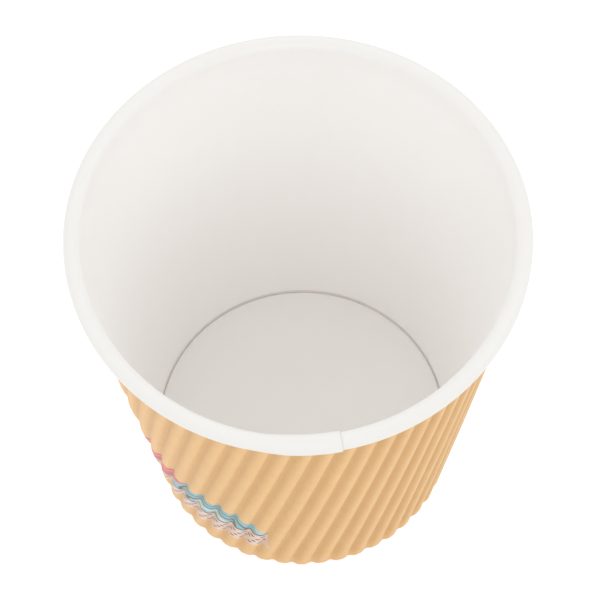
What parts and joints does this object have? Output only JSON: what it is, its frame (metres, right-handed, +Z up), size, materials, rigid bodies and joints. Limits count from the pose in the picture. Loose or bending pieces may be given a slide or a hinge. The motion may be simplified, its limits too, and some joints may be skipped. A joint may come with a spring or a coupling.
{
  "type": "double wall paper cup",
  "caption": "Tapered paper cup for hot drinks with a rolled rim, a white coated inside, a recessed floor and a kraft sleeve with slanting flutes that keeps the hand from the heat.",
  "frame": {"origin": "middle of the standing edge, on the surface the cup stands on", "axes": "+Z up through the cup's mouth, -Y towards the front in the picture, +X to its right"},
  "size_m": [0.09, 0.0903, 0.0943],
  "materials": {
    "coated_board": "satin",
    "floor_board": "satin",
    "kraft_paper": "matt"
  },
  "bodies": {
    "root": {"cup_wall": "coated_board", "base_disc": "floor_board", "ripple_sleeve": "kraft_paper"}
  },
  "joints": []
}
